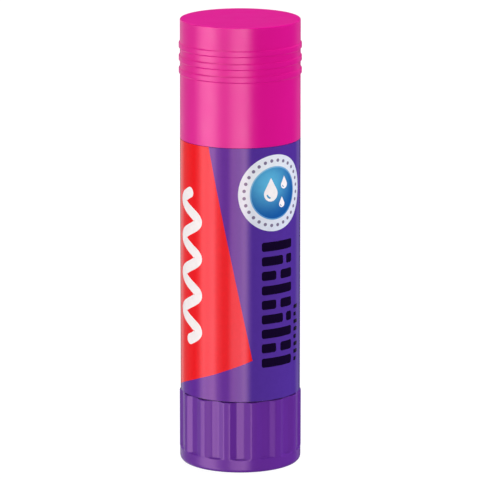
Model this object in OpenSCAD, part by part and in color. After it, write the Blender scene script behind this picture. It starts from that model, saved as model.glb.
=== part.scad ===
// Twist-up glue stick with a push-on cap.
// Axis of the stick is Z, the knob's resting ring is at z = 0, all sizes in millimetres.
// Turning the knob turns the spindle; the piston is kept from turning by the
// ribs in the tube, so it climbs the left-hand thread and lifts the glue.

/* [Body] */
// Outside diameter over the label
body_d = 27; // [26.8:0.1:28]
// Overall height with the cap on
total_h = 101.2; // [98:0.2:110]
// Height of the twist knob
knob_h = 16.2; // [15:0.1:18]
// Height of the cap
cap_h = 26.9; // [25:0.1:28]
// Gap that reads as a parting line between the moulded shells
part_gap = 0.2; // [0.1:0.05:0.3]
// Thickness of the label film
label_t = 0.08; // [0.06:0.01:0.12]

/* [Cap] */
// Wall of the cap
cap_wall = 1.12; // [1:0.02:1.2]
// Thickness of the cap's flat top
cap_top_t = 1.3; // [1:0.1:1.8]
// How much narrower the cap is at its top, on the radius
cap_draft = 0.03; // [0:0.01:0.1]
// Number of raised grip rings
ring_n = 3; // [0:1:4]
// Distance between grip rings
ring_pitch = 2.88; // [2.6:0.02:3.2]
// Height of one grip ring where it leaves the wall
ring_h = 1.55; // [1.4:0.05:2]
// Height of a ring's flat crest
ring_crest = 0.93; // [0.6:0.01:1.1]
// How far a ring stands proud of the cap
ring_out = 0.27; // [0.1:0.01:0.5]
// Middle of the top ring, below the top of the cap
ring_drop = 5.8; // [5:0.05:7]
// Number of stop ribs inside the cap
stop_n = 12; // [6:1:16]

/* [Knob] */
// Number of flutes round the knob
flute_n = 14; // [10:1:20]
// Share of the pitch that a flute takes at the crests
flute_open = 0.78; // [0.6:0.01:0.84]
// Share of the pitch that a flute's floor takes
flute_floor = 0.27; // [0.1:0.01:0.5]
// Depth of a flute
flute_depth = 0.66; // [0.3:0.02:0.7]
// Height at which the flutes end above the table
flute_z = 3; // [2.4:0.1:5]
// Turn of the first flute from the X axis
flute_phase = 12.86; // [0:0.01:36]
// How far the knob stands proud of the label
knob_out = 0.23; // [0.1:0.01:0.4]
// Step in of the rounded bottom edge
foot_in = 0.61; // [0.4:0.01:0.9]
// Height of the rounded bottom edge
foot_h = 1.1; // [0.8:0.1:1.4]

/* [Tube] */
// Bore of the tube that holds the glue
bore_d = 22.2; // [21.6:0.1:22.4]
// Wall of the tube
tube_wall = 1.1; // [1:0.02:1.2]
// Height of the neck above the casing
neck_h = 10.7; // [9.7:0.1:12]
// Number of ribs that stop the piston from turning
rib_n = 3; // [2:1:4]
// How far a rib stands into the bore
rib_out = 0.5; // [0.3:0.05:0.6]
// Width of a rib
rib_w = 1; // [0.8:0.1:1.4]

/* [Lift] */
// Lead of the lifting thread
lead = 4; // [3.5:0.1:5]
// Outside diameter of the lifting thread
thread_d = 6; // [5.6:0.1:6.4]
// Root diameter of the lifting thread
root_d = 4.3; // [4:0.1:4.6]
// Full travel of the piston
travel = 52; // [20:4:52]
// Depth of the glue's top face under the mouth, wound right down
glue_drop = 3.5; // [3:0.5:5]

/* [Hidden] */

violet = "#6b3a9c";
magenta = "#e0208f";
print_violet = "#5f3399";
natural = "#ece9e0";
paste = "#f4f1e6";

$fn = 96;
fit = 0.08;                          // running fit on the radius
body_r = body_d / 2;
casing_r = body_r - label_t;
cap_z = total_h - cap_h;             // lower edge of the cap
cap_in = body_r - cap_wall;          // inside of the cap
mouth_z = cap_z + neck_h;            // mouth of the tube
glue_z = mouth_z - glue_drop;        // top face of the glue
neck_r = bore_d / 2 + tube_wall;     // outside of the tube
bore_r = bore_d / 2;
casing_in = neck_r + 0.2;
knob_r = body_r + knob_out;
skirt_z = 4.2;                       // lower end of the tube's skirt
floor_z = knob_h + 0.8;              // underside of the tube's floor
floor_t = 1.3;
cup_z = floor_z + floor_t + 0.5;     // underside of the piston, wound down
cup_floor = 1.4;
cup_h = 9.2;                         // height of the piston's cup
cup_in = bore_r - 1.15;
hub_r = 4.6;
hub_h = 8.2;
journal_r = thread_d / 2 + 0.27;
thread_z = floor_z + floor_t + 0.4;
spindle_z = min(cup_z + cup_h + travel - 0.4, glue_z - 1.6); // tip of the spindle, inside the glue
socket_z = 10.2;                     // top of the knob's socket boss
key_w = 5;                           // across the spindle's square shank

// A body of revolution from a list of [radius, height] points
module turned(points) { rotate_extrude($fn = 96) polygon(points); }

// ---------- cap ----------

// One raised ring with sloped shoulders, centred on height z
module grip_ring(z, r) {
    turned([[r - 0.4, z - ring_h / 2], [r, z - ring_h / 2],
            [r + ring_out * 0.8, z - ring_crest / 2 - 0.12], [r + ring_out, z - ring_crest / 2 + 0.06],
            [r + ring_out, z + ring_crest / 2 - 0.06], [r + ring_out * 0.8, z + ring_crest / 2 + 0.12],
            [r, z + ring_h / 2], [r - 0.4, z + ring_h / 2]]);
}

module cap_shell() {
    top = total_h;
    rt = body_r - cap_draft;
    turned([
        // outside, from the mouth to the top
        [cap_in + 0.25, cap_z], [body_r - 0.12, cap_z], [body_r, cap_z + 0.12],
        [rt, top - 0.28], [rt - 0.08, top - 0.08], [rt - 0.28, top], [0, top],
        // underside of the top and inside wall
        [0, top - cap_top_t], [cap_in - 0.9, top - cap_top_t], [cap_in - 0.12, top - cap_top_t - 0.5],
        [cap_in, cap_z + 6.6], [cap_in, cap_z + 5.6],
        // retaining bead that snaps under the bead of the neck
        [cap_in - 0.07, cap_z + 5.2], [cap_in - 0.07, cap_z + 4.6], [cap_in, cap_z + 4.1],
        [cap_in, cap_z + 0.35]]);
}

// Ribs that stop the cap on the mouth of the tube
module stop_ribs() {
    for (i = [0 : stop_n - 1]) rotate(i * 360 / stop_n)
        translate([neck_r - 0.835, -0.4, mouth_z + 0.1])
            cube([cap_in - neck_r + 1.135, 0.8, total_h - cap_top_t - mouth_z + 0.3]);
}

module cap() {
    color(magenta) union() {
        cap_shell();
        stop_ribs();
        for (i = [0 : 1 : ring_n - 1]) grip_ring(total_h - ring_drop - i * ring_pitch, body_r - cap_draft + 0.005);
    }
}

// ---------- label ----------

module label() {
    z0 = knob_h + part_gap + 0.1;
    color(print_violet) translate([0, 0, z0]) difference() {
        cylinder(r = body_r, h = cap_z - 0.12 - z0);
        translate([0, 0, -1]) cylinder(r = casing_r, h = cap_z);
    }
}

// ---------- outer casing ----------

module casing() {
    z0 = knob_h + part_gap;
    z1 = cap_z - 0.1;
    color(violet) turned([
        [casing_in, z0 + 0.3], [casing_in + 0.3, z0], [casing_r - 0.1, z0], [casing_r, z0 + 0.1],
        [casing_r, z1 - 0.1], [casing_r - 0.1, z1],
        // inward lip that closes the top against the tube
        [neck_r + 0.03, z1], [neck_r + 0.03, z1 - 1.1], [casing_in, z1 - 1.5]]);
}

// ---------- glue tube ----------

module tube_shell() {
    bead = 0.07;
    turned([
        [journal_r + fit, floor_z], [bore_r - 0.1, floor_z], [bore_r - 0.1, skirt_z + 0.4],
        [bore_r + 0.2, skirt_z], [neck_r - 0.3, skirt_z], [neck_r, skirt_z + 0.5],
        // snap bead that holds the knob
        [neck_r, skirt_z + 1.4], [neck_r + 0.26, skirt_z + 2.1], [neck_r + 0.26, skirt_z + 2.5], [neck_r, skirt_z + 2.9],
        // collars that centre the casing
        [neck_r, knob_h + 3], [neck_r + 0.18, knob_h + 3.2], [neck_r + 0.18, knob_h + 5], [neck_r, knob_h + 5.2],
        [neck_r, cap_z - 6.2], [neck_r + 0.18, cap_z - 6], [neck_r + 0.18, cap_z - 4.2], [neck_r, cap_z - 4],
        // neck with its retaining bead and rounded mouth
        [neck_r, cap_z + 6.4], [neck_r + bead, cap_z + 6.8], [neck_r + bead, cap_z + 7.4], [neck_r, cap_z + 7.9],
        [neck_r, mouth_z - 0.4], [neck_r - 0.12, mouth_z - 0.12], [neck_r - 0.4, mouth_z], [bore_r + 0.25, mouth_z], [bore_r, mouth_z - 0.25],
        [bore_r, floor_z + floor_t], [journal_r + fit, floor_z + floor_t]]);
}

// Upright rib in the bore, from the floor to just under the mouth
module bore_rib() {
    translate([bore_r - rib_out, -rib_w / 2, floor_z + floor_t - 0.1])
        cube([rib_out + 0.4, rib_w, mouth_z - 3.4 - floor_z - floor_t]);
}

module glue_tube() {
    color(natural) union() {
        tube_shell();
        for (i = [0 : rib_n - 1]) rotate(i * 360 / rib_n) bore_rib();
    }
}

// ---------- knob ----------

module knob_shell() {
    r = knob_r;
    turned([
        // underside: resting ring and shallow recess
        [0, 0.9], [10.6, 0.9], [10.9, 0.6], [11.1, 0], [r - foot_in - 0.08, 0],
        // rounded bottom edge
        [r - foot_in, 0.02], [r - foot_in * 0.55, foot_h * 0.2], [r - foot_in * 0.22, foot_h * 0.52], [r - 0.07, foot_h],
        // smooth band, then the fluted wall
        [r - 0.07, flute_z - 0.15], [r, flute_z + 0.2], [r, knob_h - 0.3], [r - 0.3, knob_h],
        // inside: mouth, snap groove and floor
        [neck_r + 0.4, knob_h], [neck_r + 0.1, knob_h - 0.5], [neck_r + 0.1, skirt_z + 3.5],
        [neck_r + 0.36, skirt_z + 3.1], [neck_r + 0.36, skirt_z + 1.6], [neck_r + 0.1, skirt_z + 1.2],
        [neck_r + 0.1, 2.7], [neck_r - 0.2, 2.4], [0, 2.4]]);
}

// Upright cutter for one flute: sloped sides, and a floor that follows the knob's round
module flute_cutter() {
    ri = knob_r - flute_depth;
    crest = 180 / flute_n * flute_open;      // half angle between two crests
    sole = 180 / flute_n * flute_floor;      // half angle of the floor
    p = knob_r * [cos(crest), sin(crest)];
    q = ri * [cos(sole), sin(sole)];
    far = p + 0.6 * (p - q);                 // the sides run on past the crests
    near = q - 0.3 * (p - q);
    back = knob_r + 1;
    translate([0, 0, flute_z]) difference() {
        linear_extrude(height = knob_h)
            polygon([near, far, [back, far[1]], [back, -far[1]], [far[0], -far[1]], [near[0], -near[1]]]);
        translate([0, 0, -1]) cylinder(r = ri, h = knob_h + 2);
    }
}

module knob() {
    color(violet) difference() {
        union() {
            knob_shell();
            // socket for the spindle, with its webs
            translate([0, 0, 1.6]) cylinder(r = 4.4, h = socket_z - 1.6);
            for (i = [0 : 5]) rotate(30 + i * 60) translate([3.8, -0.5, 2]) cube([6.6, 1, 4.6]);
            // inner ring that keeps the skirt on the wall
            translate([0, 0, 2]) difference() {
                cylinder(r = bore_r - 0.3, h = 6.2);
                translate([0, 0, -1]) cylinder(r = bore_r - 1.2, h = 9);
            }
        }
        translate([-key_w / 2 - 0.02, -key_w / 2 - 0.02, 2.9]) cube([key_w + 0.04, key_w + 0.04, 20]);
        for (i = [0 : flute_n - 1]) rotate(flute_phase + i * 360 / flute_n) flute_cutter();
    }
}

// ---------- spindle ----------

// Cross-section of the thread: a round root with one lobe.
// Seen along the axis the lobe's angle is the thread's thickness.
function lobe(a) = let (d = abs(a)) d < 52 ? thread_d / 2 : d > 86 ? root_d / 2
    : thread_d / 2 - (thread_d - root_d) / 2 * (d - 52) / 34;

module thread(h) {
    // 14 slices to a turn; a positive twist in the extrusion winds the thread left-handed
    linear_extrude(height = h, twist = 360 * h / lead, slices = round(14 * h / lead), convexity = 8, $fn = 12)
        polygon([for (a = [-180, -144, -112, -86, -52, -26, 0, 26, 52, 86, 112, 144]) lobe(a) * [cos(a), sin(a)]]);
}

module spindle() {
    color(natural) union() {
        // square shank in the knob's socket
        translate([-key_w / 2, -key_w / 2, 3.1]) cube([key_w, key_w, socket_z - 3]);
        // shaft, thrust flange under the tube's floor and journal through it
        translate([0, 0, socket_z + 0.1]) cylinder(r = 3.4, h = floor_z - 1.3 - socket_z);
        translate([0, 0, floor_z - 1.4]) cylinder(r = 6, h = 1.3);
        translate([0, 0, floor_z - 0.5]) cylinder(r = journal_r, h = thread_z - floor_z + 0.5);
        translate([0, 0, thread_z - 0.2]) thread(spindle_z - thread_z - 0.8);
        turned([[0, spindle_z - 1.4], [root_d / 2 - 0.06, spindle_z - 1.4], [root_d / 2 - 0.06, spindle_z - 0.6], [root_d / 2 - 0.6, spindle_z], [0, spindle_z]]);
    }
}

// ---------- piston ----------

// One tooth of the nut, sitting midway in the thread's groove at angle a
module nut_tooth(a) {
    // height at which the groove passes angle a, for the turn that lies inside the hub
    base = cup_z + 2.2;
    t0 = thread_z - 0.2;
    turn = lead * ceil((base - t0) / lead);
    z = t0 + turn + lead * (180 - a) / 360;
    rotate(a) translate([root_d / 2 + 0.2, -0.7, z - 0.5]) cube([thread_d / 2 - root_d / 2 + 0.6, 1.4, 1]);
}

module fins(grow = 0) {
    for (i = [0 : 3]) rotate(45 + i * 90)
        translate([hub_r - 0.3, -0.4 - grow, cup_z + cup_floor - 0.1]) cube([cup_in - hub_r + 0.5, 0.8 + 2 * grow, 4.6]);
}

module rib_notches(r, w, z0, z1) {
    for (i = [0 : rib_n - 1]) rotate(i * 360 / rib_n)
        translate([r, -w / 2, z0]) cube([4, w, z1 - z0]);
}

module piston() {
    rl = bore_r - fit;
    ro = bore_r - 0.35;
    color(natural) union() {
        difference() {
            union() {
                turned([
                    [thread_d / 2 + fit, cup_z], [ro - 0.2, cup_z], [rl, cup_z + 0.5], [rl, cup_z + 0.9], [ro, cup_z + 1.5],
                    [ro, cup_z + cup_h - 1.4], [rl, cup_z + cup_h - 0.8], [rl, cup_z + cup_h - 0.2], [rl - 0.2, cup_z + cup_h],
                    [cup_in, cup_z + cup_h], [cup_in, cup_z + cup_floor], [hub_r, cup_z + cup_floor], [hub_r, cup_z + hub_h - 0.4],
                    [hub_r - 0.4, cup_z + hub_h], [thread_d / 2 + fit, cup_z + hub_h]]);
                fins();
            }
            rib_notches(bore_r - rib_out - 0.155, rib_w + 0.3, cup_z - 1, cup_z + cup_h + 1);
        }
        for (a = [0, 120, 240]) nut_tooth(a);
    }
}

// ---------- glue ----------

module glue() {
    z0 = cup_z + cup_floor;
    zr = cup_z + cup_h;
    r = bore_r - 0.1;
    color(paste) difference() {
        turned([[hub_r, z0], [cup_in, z0], [cup_in, zr], [r, zr], [r, glue_z - 0.6], [r - 0.18, glue_z - 0.18], [r - 0.6, glue_z], [0, glue_z],
                [0, spindle_z + 0.3], [thread_d / 2 + 0.1, spindle_z + 0.3], [thread_d / 2 + 0.1, cup_z + hub_h], [hub_r - 0.4, cup_z + hub_h], [hub_r, cup_z + hub_h - 0.4]]);
        fins();
        rib_notches(bore_r - rib_out - 0.155, rib_w + 0.3, zr - 1, glue_z + 1);
    }
}

cap();
label();
casing();
glue_tube();
knob();
spindle();
piston();
glue();
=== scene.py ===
import math
import bmesh
import bpy
import numpy as np
from mathutils import Matrix, Vector
from mathutils.geometry import delaunay_2d_cdt


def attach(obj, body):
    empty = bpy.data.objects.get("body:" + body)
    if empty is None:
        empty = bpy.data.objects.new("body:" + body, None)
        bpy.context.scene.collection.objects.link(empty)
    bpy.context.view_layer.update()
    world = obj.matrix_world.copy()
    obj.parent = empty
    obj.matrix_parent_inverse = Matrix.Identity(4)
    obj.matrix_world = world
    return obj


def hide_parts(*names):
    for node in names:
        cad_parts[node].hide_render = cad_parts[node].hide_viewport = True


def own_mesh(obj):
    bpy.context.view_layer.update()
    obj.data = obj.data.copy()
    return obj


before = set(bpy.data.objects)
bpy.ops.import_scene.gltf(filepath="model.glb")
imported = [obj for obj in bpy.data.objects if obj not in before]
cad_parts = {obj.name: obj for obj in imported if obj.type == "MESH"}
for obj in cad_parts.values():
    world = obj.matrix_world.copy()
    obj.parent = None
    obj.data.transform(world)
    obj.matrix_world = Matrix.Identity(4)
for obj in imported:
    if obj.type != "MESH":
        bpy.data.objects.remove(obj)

MM = 0.001
scene = bpy.context.scene
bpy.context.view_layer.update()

# ---------------------------------------------------------------- sizes (mm), as in the CAD model
BODY_R = 13.5
LABEL_T = 0.08
CASING_R = BODY_R - LABEL_T
TOTAL_H = 101.2
CAP_H = 26.9
CAP_Z = TOTAL_H - CAP_H
CAP_IN = BODY_R - 1.12
CAP_DRAFT = 0.03
CAP_TOP_T = 1.3
RING_PITCH, RING_DROP, RING_OUT, RING_H, RING_CREST = 2.86, 5.88, 0.27, 1.58, 0.98
KNOB_H = 16.2
KNOB_R = 13.73
FLUTE_N, FLUTE_OPEN, FLUTE_FLOOR, FLUTE_DEPTH, FLUTE_Z, FLUTE_PHASE = 14, 0.78, 0.27, 0.66, 3.0, 12.86
FOOT_IN, FOOT_H = 0.61, 1.1
BORE_R = 11.1
NECK_R = 12.2
MOUTH_Z = 85.0
SKIRT_Z = 4.2
FLOOR_Z = KNOB_H + 0.8
FLOOR_T = 1.3
CUP_Z = FLOOR_Z + FLOOR_T + 0.5
CUP_H = 9.2
CUP_IN = BORE_R - 1.15
GLUE_Z = 81.5
TRAVEL = 52.0
SPINDLE_Z = CUP_Z + CUP_H + TRAVEL - 0.4
LABEL_Z0 = KNOB_H + 0.3
LABEL_Z1 = CAP_Z - 0.05


# ---------------------------------------------------------------- small helpers
def link(obj):
    scene.collection.objects.link(obj)
    return obj


def make_object(name, verts_mm, faces, mats, face_mats=None, smooth=True):
    mesh = bpy.data.meshes.new(name)
    mesh.from_pydata([tuple(c * MM for c in v) for v in verts_mm], [], faces)
    for m in mats:
        mesh.materials.append(m)
    if face_mats is not None:
        mesh.polygons.foreach_set("material_index", np.asarray(face_mats, np.int32))
    mesh.polygons.foreach_set("use_smooth", [smooth] * len(mesh.polygons))
    mesh.validate()
    mesh.update()
    return link(bpy.data.objects.new(name, mesh))


def keep_edges(obj, angle=38):
    """Smooth shading with real corners kept sharp, and wide faces ruling over fillets."""
    obj.data.set_sharp_from_angle(angle=math.radians(angle))
    m = obj.modifiers.new("weighted", "WEIGHTED_NORMAL")
    m.mode = "FACE_AREA"
    m.weight = 90
    m.keep_sharp = True
    return obj


def rounded(points, closed=False):
    """A profile of (r, z[, fillet radius]) with arcs in its corners."""
    out = []
    n = len(points)
    for i, p in enumerate(points):
        rad = p[2] if len(p) > 2 else 0
        if rad <= 0 or (not closed and i in (0, n - 1)):
            out.append((p[0], p[1]))
            continue
        a, b, c = Vector(points[i - 1][:2]), Vector(p[:2]), Vector(points[(i + 1) % n][:2])
        u, v = (a - b), (c - b)
        lu, lv = u.length, v.length
        if lu < 1e-6 or lv < 1e-6:
            out.append((p[0], p[1]))
            continue
        u.normalize(); v.normalize()
        cosang = max(-1, min(1, u.dot(v)))
        ang = math.acos(cosang)
        if ang > math.radians(176):
            out.append((p[0], p[1]))
            continue
        t = min(rad / math.tan(ang / 2), lu * 0.49, lv * 0.49)
        rr = t * math.tan(ang / 2)
        p0, p1 = b + u * t, b + v * t
        centre = b + (u + v).normalized() * (rr / math.sin(ang / 2))
        a0 = math.atan2(p0.y - centre.y, p0.x - centre.x)
        a1 = math.atan2(p1.y - centre.y, p1.x - centre.x)
        d = (a1 - a0 + math.pi) % (2 * math.pi) - math.pi
        steps = max(2, int(abs(d) / math.radians(18)) + 1)
        for k in range(steps + 1):
            w = a0 + d * k / steps
            out.append((centre.x + rr * math.cos(w), centre.y + rr * math.sin(w)))
    return out


def lathe_data(profile, segs=192, closed=True):
    """Vertices and faces of a turned body. A closed profile makes a ring or a solid; points on the axis become one vertex."""
    verts, rows = [], []
    for r, z in profile:
        if r < 1e-6:
            rows.append([len(verts)])
            verts.append((0, 0, z))
        else:
            start = len(verts)
            for k in range(segs):
                a = 2 * math.pi * k / segs
                verts.append((r * math.cos(a), r * math.sin(a), z))
            rows.append(list(range(start, start + segs)))
    faces = []
    n = len(rows)
    for i in range(n if closed else n - 1):
        a, b = rows[i], rows[(i + 1) % n]
        if len(a) == 1 and len(b) == 1:
            continue
        for k in range(segs):
            k2 = (k + 1) % segs
            if len(a) == 1:
                faces.append((a[0], b[k2], b[k]))
            elif len(b) == 1:
                faces.append((a[k], a[k2], b[0]))
            else:
                faces.append((a[k], a[k2], b[k2], b[k]))
    return verts, faces


def box_data(x0, x1, y0, y1, z0, z1, turn=0.0):
    c, s = math.cos(math.radians(turn)), math.sin(math.radians(turn))
    pts = [(x, y, z) for x in (x0, x1) for y in (y0, y1) for z in (z0, z1)]
    verts = [(x * c - y * s, x * s + y * c, z) for x, y, z in pts]
    faces = [(0, 1, 3, 2), (4, 6, 7, 5), (0, 4, 5, 1), (2, 3, 7, 6), (0, 2, 6, 4), (1, 5, 7, 3)]
    return verts, faces


def joined(*parts):
    verts, faces = [], []
    for v, f in parts:
        n = len(verts)
        verts += list(v)
        faces += [tuple(i + n for i in face) for face in f]
    return verts, faces


def fix_normals(obj):
    bm = bmesh.new()
    bm.from_mesh(obj.data)
    bmesh.ops.recalc_face_normals(bm, faces=bm.faces)
    bm.to_mesh(obj.data)
    bm.free()
    return obj


# ---------------------------------------------------------------- materials
def nodes_of(mat):
    mat.use_nodes = True
    nt = mat.node_tree
    nt.nodes.clear()
    out = nt.nodes.new("ShaderNodeOutputMaterial")
    bsdf = nt.nodes.new("ShaderNodeBsdfPrincipled")
    nt.links.new(bsdf.outputs[0], out.inputs[0])
    return nt, bsdf


def moulded(name, color, rough=0.25, vary=0.03, grain=0.012, grain_scale=2600, sss=0.0, sss_radius=(1, 0.5, 0.5),
            sss_scale=0.001, coat=0.0, coat_rough=0.1, ior=1.5, rough_vary=0.03, warm=None, spec=0.5, tint=None):
    """Moulded plastic: cloudy colour, patchy gloss, and the fine skin that a polished mould leaves."""
    mat = bpy.data.materials.new(name)
    nt, b = nodes_of(mat)
    tc = nt.nodes.new("ShaderNodeTexCoord")
    cloud = nt.nodes.new("ShaderNodeTexNoise")
    cloud.inputs["Scale"].default_value = 120
    cloud.inputs["Detail"].default_value = 3
    nt.links.new(tc.outputs["Object"], cloud.inputs["Vector"])
    mix = nt.nodes.new("ShaderNodeMix")
    mix.data_type = "RGBA"
    c = np.array(color, float)
    w = np.array(warm if warm is not None else color, float)
    mix.inputs[6].default_value = (*np.clip(c * (1 - vary), 0, 1), 1)
    mix.inputs[7].default_value = (*np.clip(w * (1 + vary), 0, 1), 1)
    nt.links.new(cloud.outputs["Fac"], mix.inputs[0])
    nt.links.new(mix.outputs[2], b.inputs["Base Color"])
    # patchy gloss
    patch = nt.nodes.new("ShaderNodeTexNoise")
    patch.inputs["Scale"].default_value = 260
    patch.inputs["Detail"].default_value = 4
    nt.links.new(tc.outputs["Object"], patch.inputs["Vector"])
    mr = nt.nodes.new("ShaderNodeMapRange")
    mr.inputs[1].default_value, mr.inputs[2].default_value = 0.3, 0.7
    mr.inputs[3].default_value, mr.inputs[4].default_value = rough - rough_vary, rough + rough_vary
    nt.links.new(patch.outputs["Fac"], mr.inputs[0])
    nt.links.new(mr.outputs[0], b.inputs["Roughness"])
    # mould skin
    skin = nt.nodes.new("ShaderNodeTexNoise")
    skin.inputs["Scale"].default_value = grain_scale
    skin.inputs["Detail"].default_value = 2
    nt.links.new(tc.outputs["Object"], skin.inputs["Vector"])
    bump = nt.nodes.new("ShaderNodeBump")
    bump.inputs["Strength"].default_value = 0.25
    bump.inputs["Distance"].default_value = grain * MM
    nt.links.new(skin.outputs["Fac"], bump.inputs["Height"])
    nt.links.new(bump.outputs[0], b.inputs["Normal"])
    b.inputs["IOR"].default_value = ior
    b.inputs["Specular IOR Level"].default_value = spec
    if tint:
        b.inputs["Specular Tint"].default_value = (*tint, 1)
    if sss:
        b.inputs["Subsurface Weight"].default_value = sss
        b.inputs["Subsurface Radius"].default_value = sss_radius
        b.inputs["Subsurface Scale"].default_value = sss_scale
    if coat:
        b.inputs["Coat Weight"].default_value = coat
        b.inputs["Coat Roughness"].default_value = coat_rough
    return mat


MAGENTA = (0.71, 0.0065, 0.285)
VIOLET = (0.128, 0.026, 0.320)
NATURAL = (0.83, 0.82, 0.77)

m_cap = moulded("cap_magenta", MAGENTA, rough=0.33, vary=0.015, spec=0.96, tint=(1.0, 0.80, 0.80))
m_knob = moulded("knob_violet", VIOLET, rough=0.248, rough_vary=0.012, vary=0.02, spec=0.62, tint=(1.0, 0.60, 0.66))
m_casing = moulded("casing_violet", VIOLET, rough=0.248, rough_vary=0.012, vary=0.02, spec=0.62, tint=(1.0, 0.60, 0.66))
m_tube = moulded("tube_natural", NATURAL, rough=0.32, vary=0.02, sss=0.35, sss_radius=(1, 0.95, 0.85), sss_scale=0.0012)
m_inner = moulded("lift_natural", (0.84, 0.83, 0.79), rough=0.34, vary=0.02, sss=0.25, sss_radius=(1, 0.95, 0.85), sss_scale=0.0010)
m_glue = moulded("glue_waxy", (0.86, 0.84, 0.74), rough=0.42, vary=0.03, grain=0.03, grain_scale=1500, sss=0.6, sss_radius=(1, 0.95, 0.8), sss_scale=0.0016,
                 rough_vary=0.07, warm=(0.88, 0.86, 0.79))


def film(name, color, color_b=None, arc=(-1, 1), rough=0.12, spot=None, spec=0.62, tint=(1.0, 0.53, 0.62)):
    """Printed film: ink with a fine dot screen under a glossy skin. color_b is the colour further round, past the arc
    span, or with spot = (arc, height, radius) in mm its colour away from that spot."""
    mat = bpy.data.materials.new(name)
    nt, b = nodes_of(mat)
    b.inputs["Specular IOR Level"].default_value = spec
    b.inputs["Specular Tint"].default_value = (*tint, 1)
    uv = nt.nodes.new("ShaderNodeUVMap")
    uv.uv_map = "print"
    tc = nt.nodes.new("ShaderNodeTexCoord")
    mr = nt.nodes.new("ShaderNodeMapRange")
    mr.interpolation_type = "SMOOTHSTEP"
    if spot:
        far = nt.nodes.new("ShaderNodeVectorMath")
        far.operation = "DISTANCE"
        far.inputs[1].default_value = (spot[0] / 100 + 0.5, spot[1] / 100, 0)
        nt.links.new(uv.outputs[0], far.inputs[0])
        mr.inputs[1].default_value, mr.inputs[2].default_value = 0.0, spot[2] / 100
        nt.links.new(far.outputs["Value"], mr.inputs[0])
    else:
        sep = nt.nodes.new("ShaderNodeSeparateXYZ")
        nt.links.new(uv.outputs[0], sep.inputs[0])
        mr.inputs[1].default_value, mr.inputs[2].default_value = arc[0] / 100 + 0.5, arc[1] / 100 + 0.5
        nt.links.new(sep.outputs[0], mr.inputs[0])
    ground = nt.nodes.new("ShaderNodeMix")
    ground.data_type = "RGBA"
    ground.inputs[6].default_value = (*color, 1)
    ground.inputs[7].default_value = (*(color_b or color), 1)
    nt.links.new(mr.outputs[0], ground.inputs[0])
    mott = nt.nodes.new("ShaderNodeTexNoise")
    mott.inputs["Scale"].default_value = 900
    mott.inputs["Detail"].default_value = 2
    nt.links.new(tc.outputs["Object"], mott.inputs["Vector"])
    hsv = nt.nodes.new("ShaderNodeHueSaturation")
    vr = nt.nodes.new("ShaderNodeMapRange")
    vr.inputs[1].default_value, vr.inputs[2].default_value = 0.3, 0.7
    vr.inputs[3].default_value, vr.inputs[4].default_value = 0.975, 1.025
    nt.links.new(mott.outputs["Fac"], vr.inputs[0])
    nt.links.new(vr.outputs[0], hsv.inputs["Value"])
    nt.links.new(ground.outputs[2], hsv.inputs["Color"])
    nt.links.new(hsv.outputs[0], b.inputs["Base Color"])
    wav = nt.nodes.new("ShaderNodeTexNoise")
    wav.inputs["Scale"].default_value = 90
    wav.inputs["Detail"].default_value = 1
    nt.links.new(tc.outputs["Object"], wav.inputs["Vector"])
    bump = nt.nodes.new("ShaderNodeBump")
    bump.inputs["Strength"].default_value = 0.12
    bump.inputs["Distance"].default_value = 0.00005
    nt.links.new(wav.outputs["Fac"], bump.inputs["Height"])
    nt.links.new(bump.outputs[0], b.inputs["Normal"])
    rr = nt.nodes.new("ShaderNodeMapRange")
    rr.inputs[1].default_value, rr.inputs[2].default_value = 0.3, 0.7
    rr.inputs[3].default_value, rr.inputs[4].default_value = rough - 0.02, rough + 0.02
    nt.links.new(wav.outputs["Fac"], rr.inputs[0])
    nt.links.new(rr.outputs[0], b.inputs["Roughness"])
    return mat


# the violet is redder on the left half of the stick and bluer on the right half, changing over between arc -2.8 and 1.8
# mm at the front
f_violet = film("film_violet", (0.110, 0.017, 0.330), (0.083, 0.030, 0.328), arc=(-2.8, 1.8))
f_red = film("film_red", (0.885, 0.0025, 0.007))
f_white = film("film_white", (0.96, 0.92, 0.96))
# painted shade: the white ring is graded to lavender grey away from its lit upper left, darkest towards the right
f_ring_painted_shade = film("film_ring", (0.84, 0.88, 0.97), (0.70, 0.75, 0.90), spot=(5.5, 66.5, 13.0))
# printed pale blue rim with a painted highlight: lighter towards its upper left, darker further round
f_rim_painted_highlight = film("film_rim", (0.26, 0.55, 0.80), (0.10, 0.32, 0.66), spot=(5.5, 67.5, 11.0))
f_blue = film("film_blue", (0.105, 0.46, 0.76), (0.010, 0.105, 0.40), spot=(6.6, 66.2, 8.2))
f_dot = film("film_dot", (0.20, 0.17, 0.30))
f_black = film("film_black", (0.006, 0.002, 0.020), spec=0.40)


# ---------------------------------------------------------------- cap
def cap_profile():
    rt = BODY_R - CAP_DRAFT
    rings = []
    for i in range(3):
        z = TOTAL_H - RING_DROP - i * RING_PITCH
        r = rt
        rings.append([(r, z + RING_H / 2, 0.05), (r + RING_OUT, z + RING_CREST / 2, 0.12),
                      (r + RING_OUT, z - RING_CREST / 2, 0.12), (r, z - RING_H / 2, 0.05)])
    pts = [(CAP_IN + 0.25, CAP_Z, 0.06), (BODY_R, CAP_Z, 0.07)]
    for ring in reversed(rings):
        pts += list(reversed(ring))
    pts += [(rt, TOTAL_H, 0.28), (0, TOTAL_H),
            (0, TOTAL_H - CAP_TOP_T), (CAP_IN - 0.1, TOTAL_H - CAP_TOP_T, 0.7),
            (CAP_IN, CAP_Z + 6.6, 0.3), (CAP_IN, CAP_Z + 5.6, 0.3), (CAP_IN - 0.07, CAP_Z + 5.2, 0.3), (CAP_IN - 0.07, CAP_Z + 4.6, 0.3),
            (CAP_IN, CAP_Z + 4.1, 0.3), (CAP_IN, CAP_Z + 0.35, 0.1)]
    return rounded(pts, closed=True)


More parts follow.
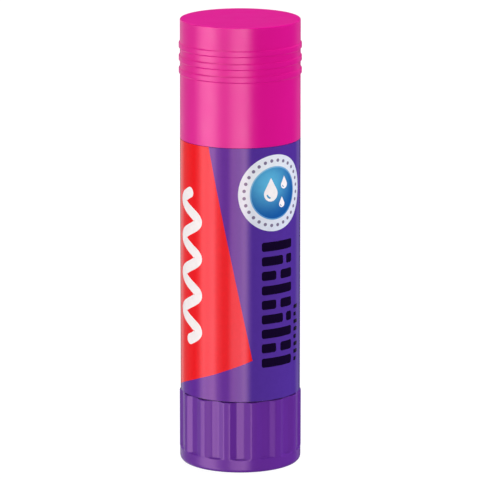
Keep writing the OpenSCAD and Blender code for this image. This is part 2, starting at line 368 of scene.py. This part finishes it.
def build_cap():
    body = lathe_data(cap_profile(), 240)
    ribs = [box_data(NECK_R - 0.835, CAP_IN + 0.3, -0.4, 0.4, MOUTH_Z + 0.1, TOTAL_H - CAP_TOP_T + 0.3, i * 30) for i in range(12)]
    v, f = joined(body, *ribs)
    obj = make_object("cap_shell", v, f, [m_cap])
    fix_normals(obj)
    return keep_edges(obj)


cap = build_cap()
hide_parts("cap")
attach(cap, "cap")


# ---------------------------------------------------------------- knob
def smooth_min(a, b, k):
    h = np.clip(0.5 + 0.5 * (b - a) / k, 0, 1)
    return b * (1 - h) + a * h - k * h * (1 - h)


def smooth_max(a, b, k):
    return -smooth_min(-a, -b, k)


def flute_radius(phi, crest_k=0.10, floor_k=0.10):
    """Outer radius at angle phi (degrees from +X): crest circle, sloped sides and a floor that follows the round."""
    pitch = 360 / FLUTE_N
    d = np.abs((phi - FLUTE_PHASE + pitch / 2) % pitch - pitch / 2)     # angle from the nearest flute's middle
    crest, sole = 180 / FLUTE_N * FLUTE_OPEN, 180 / FLUTE_N * FLUTE_FLOOR
    ri = KNOB_R - FLUTE_DEPTH
    p = np.array([KNOB_R * math.cos(math.radians(crest)), KNOB_R * math.sin(math.radians(crest))])
    q = np.array([ri * math.cos(math.radians(sole)), ri * math.sin(math.radians(sole))])
    # the side as a straight line: n . x = c
    t = (p - q) / np.linalg.norm(p - q)
    n = np.array([t[1], -t[0]])
    if n @ p < 0:
        n = -n
    c = n @ p
    dd = np.radians(d)
    denom = n[0] * np.cos(dd) + n[1] * np.sin(dd)
    line = np.where(np.abs(denom) > 1e-3, c / np.where(np.abs(denom) > 1e-3, denom, 1), 1e3)
    line = np.where((line < 0) | (line > 20), 20, line)
    line = np.where(d < sole * 0.4, np.minimum(line, ri), line)
    r = smooth_max(np.full_like(d, ri), line, floor_k)
    return smooth_min(np.full_like(d, KNOB_R), r, crest_k)


def socket_data(radius, half, z0, z_hole, z1, n=48):
    """A round boss with a square blind hole of half width half, open at the top."""
    ang = [2 * math.pi * k / n for k in range(n)]
    inner = [half / max(abs(math.cos(a)), abs(math.sin(a))) for a in ang]
    rows = [([radius] * n, z0), ([radius] * n, z1 - 0.25), ([radius - 0.08] * n, z1 - 0.08), ([radius - 0.25] * n, z1),
            ([r + 0.12 for r in inner], z1), (inner, z1 - 0.12), (inner, z_hole)]
    verts = [(r[k] * math.cos(ang[k]), r[k] * math.sin(ang[k]), z) for r, z in rows for k in range(n)]
    faces = [(i * n + k, i * n + (k + 1) % n, (i + 1) * n + (k + 1) % n, (i + 1) * n + k) for i in range(len(rows) - 1) for k in range(n)]
    verts += [(0, 0, z0), (0, 0, z_hole)]
    foot, last = n * len(rows), n * (len(rows) - 1)
    faces += [((k + 1) % n, k, foot) for k in range(n)] + [(last + k, last + (k + 1) % n, foot + 1) for k in range(n)]
    return verts, faces


def build_knob():
    pitch = 360 / FLUTE_N
    crest, sole = pitch / 2 * FLUTE_OPEN, pitch / 2 * FLUTE_FLOOR
    half = [0, sole * 0.5, sole * 0.8, sole * 0.93, sole, sole * 1.08, sole * 1.2, sole * 1.4, (sole + crest) / 2, crest * 0.86,
            crest * 0.93, crest * 0.965, crest, crest * 1.035, crest * 1.08, (crest + pitch / 2) / 2]
    cols = []
    for k in range(FLUTE_N):
        c0 = FLUTE_PHASE + k * pitch
        cols += [c0 + a for a in half] + [c0 + pitch / 2] + [c0 - a for a in half[1:]]
    cols = np.sort(np.unique(np.round(np.array(cols) % 360, 5)))
    base = flute_radius(cols)
    # base body of the outside, foot first
    R = KNOB_R
    z_foot = [(0.0, R - FOOT_IN - 0.02), (0.04, R - FOOT_IN + 0.06), (0.12, R - FOOT_IN * 0.80), (0.24, R - FOOT_IN * 0.57),
              (0.42, R - FOOT_IN * 0.36), (0.64, R - FOOT_IN * 0.21), (0.88, R - 0.09), (1.1, R - 0.07), (1.3, R - 0.07), (2.0, R - 0.07), (2.55, R - 0.07), (2.7, R - 0.066)]
    rows = []
    for z, r in z_foot:
        rows.append((z, np.full_like(cols, r)))
    for z in (2.80, 2.86, 2.92, 2.97, 3.02, 3.07, 3.12, 3.18, 3.25, 3.34, 3.45, 3.6, 4.0, 6.0, 9.0, 12.0, 14.5, KNOB_H - 0.6, KNOB_H - 0.42, KNOB_H - 0.32, KNOB_H - 0.24,
              KNOB_H - 0.16, KNOB_H - 0.08, KNOB_H - 0.02, KNOB_H):
        t = np.clip((z - 2.78) / 0.42, 0, 1)
        step = t * t * (3 - 2 * t)
        # the crest comes up from the foot band just under the flutes
        t2 = np.clip((z - 2.75) / 0.5, 0, 1)
        band = (R - 0.07) + 0.07 * t2 * t2 * (3 - 2 * t2)
        r = band - (band - np.minimum(base, band)) * step
        # rounded top edge on the crests
        d = max(0.0, z - (KNOB_H - 0.36))
        top = R - (0.36 - math.sqrt(max(0.0, 0.36 ** 2 - d ** 2))) if d > 0 else 99.0
        rows.append((z, np.minimum(r, top)))
    n = len(cols)
    ca, sa = np.cos(np.radians(cols)), np.sin(np.radians(cols))
    verts, grid = [], []
    for z, r in rows:
        grid.append(range(len(verts), len(verts) + n))
        verts += [(r[k] * ca[k], r[k] * sa[k], z) for k in range(n)]
    # top face, inside and underside as plain turned rows
    inner = rounded([(NECK_R + 0.9, KNOB_H), (NECK_R + 0.4, KNOB_H, 0.08), (NECK_R + 0.1, KNOB_H - 0.5, 0.1), (NECK_R + 0.1, SKIRT_Z + 3.5, 0.1),
                     (NECK_R + 0.36, SKIRT_Z + 3.1, 0.1), (NECK_R + 0.36, SKIRT_Z + 1.6, 0.1), (NECK_R + 0.1, SKIRT_Z + 1.2, 0.1),
                     (NECK_R + 0.1, 2.7, 0.1), (NECK_R - 0.2, 2.4, 0.1), (0.0, 2.4)])
    inner = inner[1:]
    for r, z in inner:
        if r < 1e-6:
            grid.append([len(verts)]); verts.append((0, 0, z))
        else:
            grid.append(range(len(verts), len(verts) + n))
            verts += [(r * ca[k], r * sa[k], z) for k in range(n)]
    under = rounded([(0.0, 0.9), (10.75, 0.9, 0.3), (11.1, 0.0, 0.12), (R - FOOT_IN - 0.02, 0.0)])
    low = []
    for r, z in under[:-1]:
        if r < 1e-6:
            low.append([len(verts)]); verts.append((0, 0, z))
        else:
            low.append(range(len(verts), len(verts) + n))
            verts += [(r * ca[k], r * sa[k], z) for k in range(n)]
    chain = low + grid
    faces = []
    for a, b in zip(chain, chain[1:]):
        if len(a) == 1 and len(b) == 1:
            continue
        for k in range(n):
            k2 = (k + 1) % n
            if len(a) == 1:
                faces.append((a[0], b[k], b[k2]))
            elif len(b) == 1:
                faces.append((a[k], a[k2], b[0]))
            else:
                faces.append((a[k], a[k2], b[k2], b[k]))
    # inside: socket for the spindle's square shank, its webs, and the ring that keeps the skirt on the wall
    parts = [(verts, faces), socket_data(4.4, 2.52, 2.3, 2.9, 10.2)]
    parts += [box_data(4.0, 10.3, -0.5, 0.5, 2.3, 6.6, 30 + i * 60) for i in range(6)]
    parts.append(lathe_data(rounded([(BORE_R - 1.2, 2.3), (BORE_R - 0.3, 2.3), (BORE_R - 0.3, 8.2, 0.2), (BORE_R - 1.2, 8.2, 0.2)], closed=True), 96))
    obj = make_object("knob_shell", *joined(*parts), [m_knob])
    fix_normals(obj)
    return keep_edges(obj, 50)


knob = build_knob()
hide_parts("knob")
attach(knob, "knob")


# ---------------------------------------------------------------- label
def circle(cx, cy, r, n=96):
    return [(cx + r * math.cos(2 * math.pi * k / n), cy + r * math.sin(2 * math.pi * k / n)) for k in range(n)]


def build_label(shapes, mats):
    """shapes: (material index, outline) in mm of arc and height, later ones on top."""
    half = math.pi * BODY_R
    z0, z1 = LABEL_Z0, LABEL_Z1
    pts, edges = [], []

    def add(poly, closed=True):
        s = len(pts)
        pts.extend(Vector(p) for p in poly)
        for i in range(len(poly) - (0 if closed else 1)):
            edges.append((s + i, s + (i + 1) % len(poly)))

    cols = 144
    for k in range(cols + 1):
        x = -half + 2 * half * k / cols
        add([(x, z0), (x, z1)], closed=False)
    add([(-half, z0), (half, z0)], closed=False)
    add([(-half, z1), (half, z1)], closed=False)
    zc = z0
    while zc < z1 - 4:
        zc += 4
        add([(-half, zc), (half, zc)], closed=False)
    for _, poly in shapes:
        add(poly)
    v2, _, f2, _, _, _ = delaunay_2d_cdt(pts, edges, [], 0, 1e-6)
    co = np.array([tuple(v) for v in v2])
    tris = [f for f in f2 if len(f) >= 3]
    cent = np.array([co[list(f)].mean(0) for f in tris])
    ok = (cent[:, 0] > -half) & (cent[:, 0] < half) & (cent[:, 1] > z0) & (cent[:, 1] < z1)
    mat = np.zeros(len(tris), int)
    for mi, poly in shapes:
        p = np.array(poly)
        lo, hi = p.min(0), p.max(0)
        near = np.where((cent[:, 0] > lo[0]) & (cent[:, 0] < hi[0]) & (cent[:, 1] > lo[1]) & (cent[:, 1] < hi[1]))[0]
        x, y = cent[near, 0], cent[near, 1]
        inside = np.zeros(len(near), bool)
        q = np.roll(p, -1, axis=0)
        for (ax, ay), (bx, by) in zip(p, q):
            hit = ((ay > y) != (by > y))
            if hit.any():
                xi = ax + (y - ay) * (bx - ax) / (by - ay if abs(by - ay) > 1e-12 else 1e-12)
                inside ^= hit & (x < xi)
        mat[near[inside]] = mi
    tris = [t for t, k in zip(tris, ok) if k]
    mat = mat[ok]
    # wrap: arc 0 faces the front (-Y), positive arc towards +X
    welded, remap = [], {}
    index = np.zeros(len(co), int)
    for i, (x, y) in enumerate(co):
        if abs(x - half) < 1e-5:
            x = -half
        key = (round(x, 5), round(y, 5))
        if key not in remap:
            remap[key] = len(welded)
            welded.append((x, y))
        index[i] = remap[key]
    verts, normals = [], []
    for x, y in welded:
        a = x / BODY_R
        verts.append((BODY_R * math.sin(a), -BODY_R * math.cos(a), y))
    nv = len(verts)
    faces = [tuple(index[i] for i in t) for t in tris]
    # turn the faces outwards
    out_faces = []
    for f in faces:
        a, b, c = (np.array(verts[i]) for i in f[:3])
        nrm = np.cross(b - a, c - a)
        mid = (a + b + c) / 3
        out_faces.append(f if nrm[0] * mid[0] + nrm[1] * mid[1] > 0 else tuple(reversed(f)))
    face_mats = list(mat)
    # rims and back of the film
    def rim(z):
        ids = [i for i, (x, y) in enumerate(welded) if abs(y - z) < 1e-5]
        return sorted(ids, key=lambda i: welded[i][0])
    inner = {}
    for z in (z0, z1):
        for i in rim(z):
            a = welded[i][0] / BODY_R
            inner[i] = len(verts)
            verts.append((CASING_R * math.sin(a), -CASING_R * math.cos(a), z))
    extra = 0
    for z, up in ((z0, False), (z1, True)):
        ids = rim(z)
        for a, b in zip(ids, ids[1:] + ids[:1]):
            f = (a, b, inner[b], inner[a])
            out_faces.append(tuple(reversed(f)) if not up else f)
            face_mats.append(0)
            extra += 1
    # the back of the film joins two rims of unlike vertex counts
    lo, hi = ([(welded[i][0], inner[i]) for i in rim(z)] for z in (z0, z1))
    lo.append((lo[0][0] + 2 * half, lo[0][1]))
    hi.append((hi[0][0] + 2 * half, hi[0][1]))
    i = j = 0
    while i < len(lo) - 1 or j < len(hi) - 1:
        if j == len(hi) - 1 or (i < len(lo) - 1 and lo[i + 1][0] <= hi[j + 1][0]):
            out_faces.append((lo[i][1], hi[j][1], lo[i + 1][1]))
            i += 1
        else:
            out_faces.append((lo[i][1], hi[j][1], hi[j + 1][1]))
            j += 1
        face_mats.append(0)
    obj = make_object("label_film", verts, out_faces, mats, face_mats)
    mesh = obj.data
    # exact round normals on the outside
    loops = np.zeros(len(mesh.loops), np.int32)
    mesh.loops.foreach_get("vertex_index", loops)
    co3 = np.array(verts)
    nrm = np.zeros((len(mesh.loops), 3))
    for p in mesh.polygons:
        pn = np.array(p.normal)
        for li in p.loop_indices:
            v = co3[loops[li]]
            rad = np.array([v[0], v[1], 0]) / math.hypot(v[0], v[1])
            if abs(pn[2]) > 0.7:
                nrm[li] = (0, 0, math.copysign(1, pn[2]))
            else:
                nrm[li] = rad if pn @ rad > 0 else -rad
    mesh.normals_split_custom_set([tuple(n) for n in nrm])
    uv = mesh.uv_layers.new(name="print")
    data = np.zeros((len(mesh.loops), 2), np.float32)
    arcs = np.array([math.atan2(v[0], -v[1]) * BODY_R for v in co3])
    for p in mesh.polygons:
        ids = [loops[li] for li in p.loop_indices]
        a = arcs[ids]
        if a.max() - a.min() > half:
            a = np.where(a > 0, a - 2 * half, a)
        for li, ai, vi in zip(p.loop_indices, a, ids):
            data[li] = (ai / 100 + 0.5, co3[vi][2] / 100)
    uv.data.foreach_set("uv", data.ravel())
    return obj


def ribbon(line, half):
    """Outline of a stroke with round ends along a list of points."""
    left, right = [], []
    n = len(line)
    for i in range(n):
        a, b = line[max(0, i - 1)], line[min(n - 1, i + 1)]
        dx, dy = b[0] - a[0], b[1] - a[1]
        s = math.hypot(dx, dy)
        nx, ny = -dy / s * half, dx / s * half
        left.append((line[i][0] + nx, line[i][1] + ny))
        right.append((line[i][0] - nx, line[i][1] - ny))

    def cap_end(centre, start):
        return [(centre[0] + half * math.cos(start - math.pi * k / 14), centre[1] + half * math.sin(start - math.pi * k / 14)) for k in range(1, 14)]

    end = math.atan2(left[-1][1] - line[-1][1], left[-1][0] - line[-1][0])
    begin = math.atan2(right[0][1] - line[0][1], right[0][0] - line[0][0])
    return left + cap_end(line[-1], end) + right[::-1] + cap_end(line[0], begin)


def bar(x0, x1, z0, z1, rad):
    out = []
    for cx, cz, a in ((x1 - rad, z1 - rad, 0), (x0 + rad, z1 - rad, 90), (x0 + rad, z0 + rad, 180), (x1 - rad, z0 + rad, 270)):
        out += [(cx + rad * math.cos(math.radians(a + k * 15)), cz + rad * math.sin(math.radians(a + k * 15))) for k in range(7)]
    return out


def drop(cx, cz, r, tip):
    """A drop with its tip up."""
    a0 = math.asin(min(0.98, r / tip))
    arc = [(cx + r * math.cos(t), cz + r * math.sin(t)) for t in np.linspace(math.pi - a0, 2 * math.pi + a0, 40)]
    return arc + [(cx, cz + tip)]


def label_shapes():
    red = [(-7.6, LABEL_Z1 + 1), (2.75, 25.9), (-6.2, 22.4), (-19.8, 17.7), (-30.0, 17.0), (-36.0, LABEL_Z1 + 1)]
    shapes = [(1, red)]
    # a line of glue squeezed out in waves
    line = [(-13.2 + 2.75 * math.sin(2 * math.pi * (z - 29.6) / 8.4), z) for z in np.linspace(29.6, 63.2, 150)]
    shapes.append((2, ribbon(line, 1.22)))
    # round badge with a ring of dots and three drops
    cx, cz = 8.15, 63.8
    shapes += [(3, circle(cx, cz, 8.65, 120)), (4, circle(cx, cz, 6.05)), (5, circle(cx, cz, 5.75))]
    for k in range(28):
        a = 2 * math.pi * (k + 0.5) / 28
        shapes.append((6, circle(cx + 7.35 * math.cos(a), cz + 7.35 * math.sin(a), 0.40, 14)))
    for x, z, r, tip in ((cx - 1.0, cz - 0.1, 1.75, 3.6), (cx + 2.7, cz + 1.6, 0.95, 1.95), (cx + 2.0, cz - 2.7, 0.80, 1.65)):
        shapes.append((2, drop(x, z, r, tip)))
        shapes.append((5, [(x + r * (0.66 * math.cos(t)), z + r * (0.66 * math.sin(t))) for t in np.linspace(math.radians(190), math.radians(262), 9)]
                       + [(x + r * (0.44 * math.cos(t)), z + r * (0.44 * math.sin(t))) for t in np.linspace(math.radians(262), math.radians(190), 9)]))
    # a ladder of dark bars
    x0, x1 = 4.9, 13.5
    for i, kind in enumerate("ABACBABCA"):
        z = 24.1 + 3.32 * i
        if kind == "A":
            spans = [(x0, x1)]
        elif kind == "B":
            spans = [(x0, x0 + 3.7), (x1 - 3.7, x1)]
        else:
            spans = [(x0, x0 + 5.7), (x1 - 1.9, x1)]
        for a, b in spans:
            shapes.append((7, bar(a, b, z, z + 2.1, 0.5)))
    for i in range(8):
        shapes.append((7, bar(14.6, 14.6 + (1.9 if i % 3 else 1.3), 24.2 + 1.72 * i, 25.1 + 1.72 * i, 0.3)))
    return shapes


label = build_label(label_shapes(), [f_violet, f_red, f_white, f_ring_painted_shade, f_rim_painted_highlight, f_blue, f_dot, f_black])
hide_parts("label")
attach(label, "barrel")


def build_seam():
    """The film's overlap, up the back of the stick."""
    cols, a0, a1 = 10, -2.1 / BODY_R, 2.1 / BODY_R
    z0, z1 = LABEL_Z0 + 0.05, LABEL_Z1 - 0.05
    verts, faces = [], []
    for r in (BODY_R - 0.01, BODY_R + 0.035):
        for z in (z0, z1):
            for k in range(cols + 1):
                a = a0 + (a1 - a0) * k / cols
                verts.append((r * math.sin(a), r * math.cos(a), z))
    n = cols + 1
    lo_in, hi_in, lo_out, hi_out = range(0, n), range(n, 2 * n), range(2 * n, 3 * n), range(3 * n, 4 * n)
    for a, b in ((lo_out, hi_out), (hi_in, lo_in), (lo_in, lo_out), (hi_out, hi_in)):
        faces += [(a[k], a[k + 1], b[k + 1], b[k]) for k in range(cols)]
    faces += [(lo_in[0], lo_out[0], hi_out[0], hi_in[0]), (lo_in[-1], hi_in[-1], hi_out[-1], lo_out[-1])]
    obj = make_object("label_seam", verts, faces, [f_violet])
    fix_normals(obj)
    uv = obj.data.uv_layers.new(name="print")
    for loop in obj.data.loops:
        v = obj.data.vertices[loop.vertex_index].co
        uv.data[loop.index].uv = (0.92 + math.atan2(v.x, v.y) * 0.0135 * 10, v.z * 10)
    obj.data.set_sharp_from_angle(angle=math.radians(30))
    return obj


seam = build_seam()
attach(seam, "barrel")


# ---------------------------------------------------------------- glue tube
def tube_profile():
    nr, br = NECK_R, BORE_R
    pts = [(6.0 / 2 + 0.27 + 0.08, FLOOR_Z, 0.1), (br - 0.1, FLOOR_Z, 0.4), (br - 0.1, SKIRT_Z + 0.4, 0.2), (br + 0.2, SKIRT_Z, 0.12),
           (nr - 0.3, SKIRT_Z, 0.15), (nr, SKIRT_Z + 0.5, 0.3), (nr, SKIRT_Z + 1.4, 0.3), (nr + 0.26, SKIRT_Z + 2.1, 0.15),
           (nr + 0.26, SKIRT_Z + 2.5, 0.15), (nr, SKIRT_Z + 2.9, 0.2),
           (nr, KNOB_H + 3, 0.1), (nr + 0.18, KNOB_H + 3.2, 0.1), (nr + 0.18, KNOB_H + 5, 0.1), (nr, KNOB_H + 5.2, 0.1),
           (nr, CAP_Z - 6.2, 0.1), (nr + 0.18, CAP_Z - 6, 0.1), (nr + 0.18, CAP_Z - 4.2, 0.1), (nr, CAP_Z - 4, 0.1),
           (nr, CAP_Z + 6.4, 0.4), (nr + 0.07, CAP_Z + 6.8, 0.3), (nr + 0.07, CAP_Z + 7.4, 0.3), (nr, CAP_Z + 7.9, 0.4),
           (nr, MOUTH_Z - 0.02, 0.45), (br + 0.12, MOUTH_Z - 0.02, 0.3), (br, MOUTH_Z - 0.35, 0.2),
           (br, FLOOR_Z + FLOOR_T, 0.3), (6.0 / 2 + 0.27 + 0.08, FLOOR_Z + FLOOR_T, 0.1)]
    return rounded(pts, closed=True)


def build_tube():
    body = lathe_data(tube_profile(), 216)
    ribs = [box_data(BORE_R - 0.5, BORE_R + 0.4, -0.5, 0.5, FLOOR_Z + FLOOR_T - 0.1, MOUTH_Z - 3.5, i * 120) for i in range(3)]
    obj = make_object("tube_shell", *joined(body, *ribs), [m_tube])
    fix_normals(obj)
    return keep_edges(obj, 40)


tube = build_tube()
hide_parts("glue_tube")
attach(tube, "barrel")


# ---------------------------------------------------------------- glue
def build_glue():
    """The plug of glue: notched for the tube's ribs, with a poured top that dips a little in the middle."""
    r, notch = BORE_R - 0.1, BORE_R - 0.5 - 0.155
    edge = math.degrees(math.asin(0.65 / 10.9))
    cols = []
    for k in range(3):
        c = 120 * k
        cols += [(c - edge, r), (c - edge + 0.01, notch), (c - edge * 0.4, notch), (c + edge * 0.4, notch), (c + edge - 0.01, notch), (c + edge, r)]
        cols += [(c + a, r) for a in np.linspace(edge + 2.0, 120 - edge - 2.0, 44)]
    cols = sorted((a % 360, q) for a, q in cols)
    zr = CUP_Z + CUP_H
    side = [(0.0, zr), (0.0, zr + 2), (0.0, 40), (0.0, 52), (0.0, 64), (0.0, 74), (0.0, GLUE_Z - 1.2), (0.0, GLUE_Z - 0.62)]
    side += [(0.55 * (1 - math.cos(t)), GLUE_Z - 0.62 + 0.55 * math.sin(t)) for t in np.linspace(0.2, math.pi / 2, 6)]
    verts, grid = [], []

    def ring(inset, z, rad=None):
        grid.append(range(len(verts), len(verts) + len(cols)))
        for a, q in cols:
            rr = (q - inset) if rad is None else min(rad, q - inset)
            verts.append((rr * math.cos(math.radians(a)), rr * math.sin(math.radians(a)), z))

    hub, inner = 4.6, CUP_IN
    ring(0, CUP_Z + 1.4 + 0.02, hub + 0.03)
    ring(0, CUP_Z + 1.4 + 0.02, inner - 0.03)
    ring(0, zr - 0.001, inner - 0.03)
    for inset, z in side:
        ring(inset, z)
    for rad, dip in ((9.9, 0.09), (9.2, 0.13), (8.0, 0.19), (6.0, 0.26), (4.0, 0.31), (2.0, 0.34)):
        ring(0, GLUE_Z - 0.07 - dip, rad)
    n = len(cols)
    faces = []
    for a, b in zip(grid, grid[1:]):
        faces += [(a[k], a[(k + 1) % n], b[(k + 1) % n], b[k]) for k in range(n)]
    top = len(verts)
    verts.append((0, 0, GLUE_Z - 0.42))
    faces += [(grid[-1][k], grid[-1][(k + 1) % n], top) for k in range(n)]
    # the hole that the spindle and the piston's hub stand in
    hole = [(hub + 0.03, CUP_Z + 1.4 + 0.02), (hub + 0.03, CUP_Z + 8.2), (3.12, CUP_Z + 8.25), (3.12, SPINDLE_Z + 0.3), (0.0, SPINDLE_Z + 0.3)]
    prev = grid[0]
    for rad, z in hole[1:]:
        if rad == 0:
            tip = len(verts)
            verts.append((0, 0, z))
            faces += [(prev[(k + 1) % n], prev[k], tip) for k in range(n)]
        else:
            cur = range(len(verts), len(verts) + n)
            verts += [(rad * math.cos(math.radians(a)), rad * math.sin(math.radians(a)), z) for a, _ in cols]
            faces += [(prev[(k + 1) % n], prev[k], cur[k], cur[(k + 1) % n]) for k in range(n)]
            prev = cur
    obj = make_object("glue_plug", verts, faces, [m_glue])
    fix_normals(obj)
    return keep_edges(obj, 40)


glue = build_glue()
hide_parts("glue")
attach(glue, "piston")
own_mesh(glue)

# ---------------------------------------------------------------- CAD nodes that keep their own mesh
for node, mat in (("casing", m_casing), ("spindle", m_inner), ("piston", m_inner)):
    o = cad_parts[node]
    o.data.materials.clear()
    o.data.materials.append(mat)


# ---------------------------------------------------------------- studio
def area(name, azimuth, elevation, size, height, energy, distance=1.2, color=(1, 1, 1), glossy=False, aim=0.05):
    """A soft panel. azimuth is measured from the viewer's side towards +X."""
    d = bpy.data.lights.new(name, "AREA")
    d.shape = "RECTANGLE"
    d.size, d.size_y = size, height
    d.energy = energy
    d.color = color
    d.cycles.use_multiple_importance_sampling = glossy
    o = link(bpy.data.objects.new(name, d))
    a, e = math.radians(azimuth), math.radians(elevation)
    o.location = (distance * math.sin(a) * math.cos(e), -distance * math.cos(a) * math.cos(e), aim + distance * math.sin(e))
    o.rotation_mode = "QUATERNION"
    o.rotation_quaternion = (o.location - Vector((0, 0, aim))).to_track_quat("Z", "Y")
    o.visible_camera = False
    o.visible_glossy = glossy
    return o


def build_world():
    w = bpy.data.worlds.new("studio")
    scene.world = w
    w.use_nodes = True
    nt = w.node_tree
    nt.nodes.clear()
    out = nt.nodes.new("ShaderNodeOutputWorld")
    lp = nt.nodes.new("ShaderNodeLightPath")
    tc = nt.nodes.new("ShaderNodeTexCoord")
    sep = nt.nodes.new("ShaderNodeSeparateXYZ")
    nt.links.new(tc.outputs["Generated"], sep.inputs[0])

    def math_node(op, a, b=None):
        m = nt.nodes.new("ShaderNodeMath")
        m.operation = op
        for i, v in enumerate((a, b)):
            if v is None:
                continue
            if isinstance(v, (int, float)):
                m.inputs[i].default_value = v
            else:
                nt.links.new(v, m.inputs[i])
        return m.outputs[0]

    back_y = math_node("MULTIPLY", sep.outputs[1], -1)
    az = math_node("ARCTAN2", sep.outputs[0], back_y)          # 0 towards the viewer, + towards +X
    t = math_node("ADD", math_node("DIVIDE", az, 2 * math.pi), 0.5)
    ramp = nt.nodes.new("ShaderNodeValToRGB")
    ramp.color_ramp.interpolation = "LINEAR"
    nt.links.new(t, ramp.inputs[0])
    els = ramp.color_ramp.elements
    table = PANELS
    while len(els) < len(table):
        els.new(0.5)
    for el, (deg, v) in zip(els, table):
        el.position = deg / 360 + 0.5
        s = v / 4.0
        el.color = (s, s, s, 1)
    glossy = math_node("MULTIPLY", ramp.outputs[0], 4.0)
    # the panels end overhead, where the studio is dark
    hr = nt.nodes.new("ShaderNodeMapRange")
    hr.inputs[1].default_value, hr.inputs[2].default_value = 0.50, 0.85
    hr.inputs[3].default_value, hr.inputs[4].default_value = 1.0, 0.45
    nt.links.new(sep.outputs[2], hr.inputs[0])
    glossy = math_node("MULTIPLY", glossy, hr.outputs[0])
    # and end again below, over the table
    lr = nt.nodes.new("ShaderNodeMapRange")
    lr.inputs[1].default_value, lr.inputs[2].default_value = -0.90, -0.60
    lr.inputs[3].default_value, lr.inputs[4].default_value = 0.15, 1.0
    nt.links.new(sep.outputs[2], lr.inputs[0])
    glossy = math_node("MULTIPLY", glossy, lr.outputs[0])
    # behind the stick the backdrop is dark above table height
    behind = nt.nodes.new("ShaderNodeMapRange")
    behind.inputs[1].default_value, behind.inputs[2].default_value = 0.4, 0.85
    nt.links.new(sep.outputs[1], behind.inputs[0])
    above = nt.nodes.new("ShaderNodeMapRange")
    above.inputs[1].default_value, above.inputs[2].default_value = 0.02, 0.14
    nt.links.new(sep.outputs[2], above.inputs[0])
    hidden = math_node("MULTIPLY", math_node("MULTIPLY", behind.outputs[0], above.outputs[0]), BACK_DARK)
    glossy = math_node("MULTIPLY", glossy, math_node("SUBTRACT", 1.0, hidden))

    def background(strength, color=(1, 1, 1, 1)):
        b = nt.nodes.new("ShaderNodeBackground")
        b.inputs[0].default_value = color
        if isinstance(strength, (int, float)):
            b.inputs[1].default_value = strength
        else:
            nt.links.new(strength, b.inputs[1])
        return b.outputs[0]

    def pick(fac, a, b):
        m = nt.nodes.new("ShaderNodeMixShader")
        nt.links.new(fac, m.inputs[0])
        nt.links.new(a, m.inputs[1])
        nt.links.new(b, m.inputs[2])
        return m.outputs[0]

    fill = background(FILL)
    s = pick(lp.outputs["Is Glossy Ray"], fill, background(glossy))
    s = pick(lp.outputs["Is Camera Ray"], s, background(1.0))
    nt.links.new(s, out.inputs[0])
    w.cycles.sampling_method = "NONE"


PANELS = [(-180, 0.08), (-166, 0.08), (-157, 0.68), (-145, 0.62), (-136, 0.34), (-98, 0.25), (-88, 0.8), (-76, 3.2), (-66, 3.1), (-57, 3.9), (-52, 3.7), (-45, 1.7), (-40, 1.3),
          (-34, 0.75), (-24, 0.75), (-15, 2.6), (0, 3.0), (7, 4.0), (11, 3.3), (16, 1.4), (22, 0.02), (132, 0.02), (139, 0.26), (150, 0.26), (158, 0.06), (180, 0.08)]
FILL = 0.0
BACK_DARK = 0.30
build_world()
area("panel_left", -108, 10, 1.4, 1.5, 9.5)
area("panel_front", -18, 16, 0.9, 1.2, 12.0, color=(1.0, 0.95, 0.88))
area("panel_right", 101, 10, 1.4, 1.7, 20.5)
area("panel_back", 180, 12, 1.2, 1.0, 3.0)
area("panel_top", 165, 76, 0.9, 0.9, 13.6)
area("bounce", 0, -90, 3.2, 3.2, 26.0, distance=0.7, aim=0.0)

scene.view_settings.view_transform = "Standard"
scene.view_settings.look = "None"
scene.view_settings.exposure = 0
scene.view_settings.gamma = 1


def build_floor():
    v, f = lathe_data([(0, 0), (60, 0), (200, 0), (600, 0), (1500, 0), (4000, 0)], 96, closed=False)
    mat = bpy.data.materials.new("floor_white")
    mat.use_nodes = True
    nt = mat.node_tree
    nt.nodes.clear()
    out = nt.nodes.new("ShaderNodeOutputMaterial")
    dif = nt.nodes.new("ShaderNodeBsdfDiffuse")
    dif.inputs[0].default_value = (0.13, 0.13, 0.13, 1)
    em = nt.nodes.new("ShaderNodeEmission")
    em.inputs[1].default_value = 0.92
    add = nt.nodes.new("ShaderNodeAddShader")
    nt.links.new(dif.outputs[0], add.inputs[0])
    nt.links.new(em.outputs[0], add.inputs[1])
    geo = nt.nodes.new("ShaderNodeNewGeometry")
    tr = nt.nodes.new("ShaderNodeBsdfTransparent")
    mix = nt.nodes.new("ShaderNodeMixShader")
    nt.links.new(geo.outputs["Backfacing"], mix.inputs[0])
    nt.links.new(add.outputs[0], mix.inputs[1])
    nt.links.new(tr.outputs[0], mix.inputs[2])
    nt.links.new(mix.outputs[0], out.inputs[0])
    o = make_object("floor", v, f, [mat])
    if o.data.polygons[0].normal.z < 0:
        o.data.flip_normals()
    o.location.z = -0.00002
    o.visible_glossy = False
    o.visible_diffuse = False
    o.visible_shadow = False
    return o


floor = build_floor()

# ---------------------------------------------------------------- camera
ELEVATION, DISTANCE, AIM_Z = math.radians(12.62), 0.9675, 0.0506
cam_data = bpy.data.cameras.new("camera")
cam_data.lens = 322.5
cam_data.sensor_width = 36
cam_data.shift_x = -0.0006
cam_data.clip_start, cam_data.clip_end = 0.05, 20
camera = link(bpy.data.objects.new("camera", cam_data))
camera.location = (0, -DISTANCE * math.cos(ELEVATION), AIM_Z + DISTANCE * math.sin(ELEVATION))
camera.rotation_mode = "QUATERNION"
camera.rotation_quaternion = (camera.location - Vector((0, 0, AIM_Z))).to_track_quat("Z", "Y")
scene.camera = camera

bpy.context.view_layer.update()
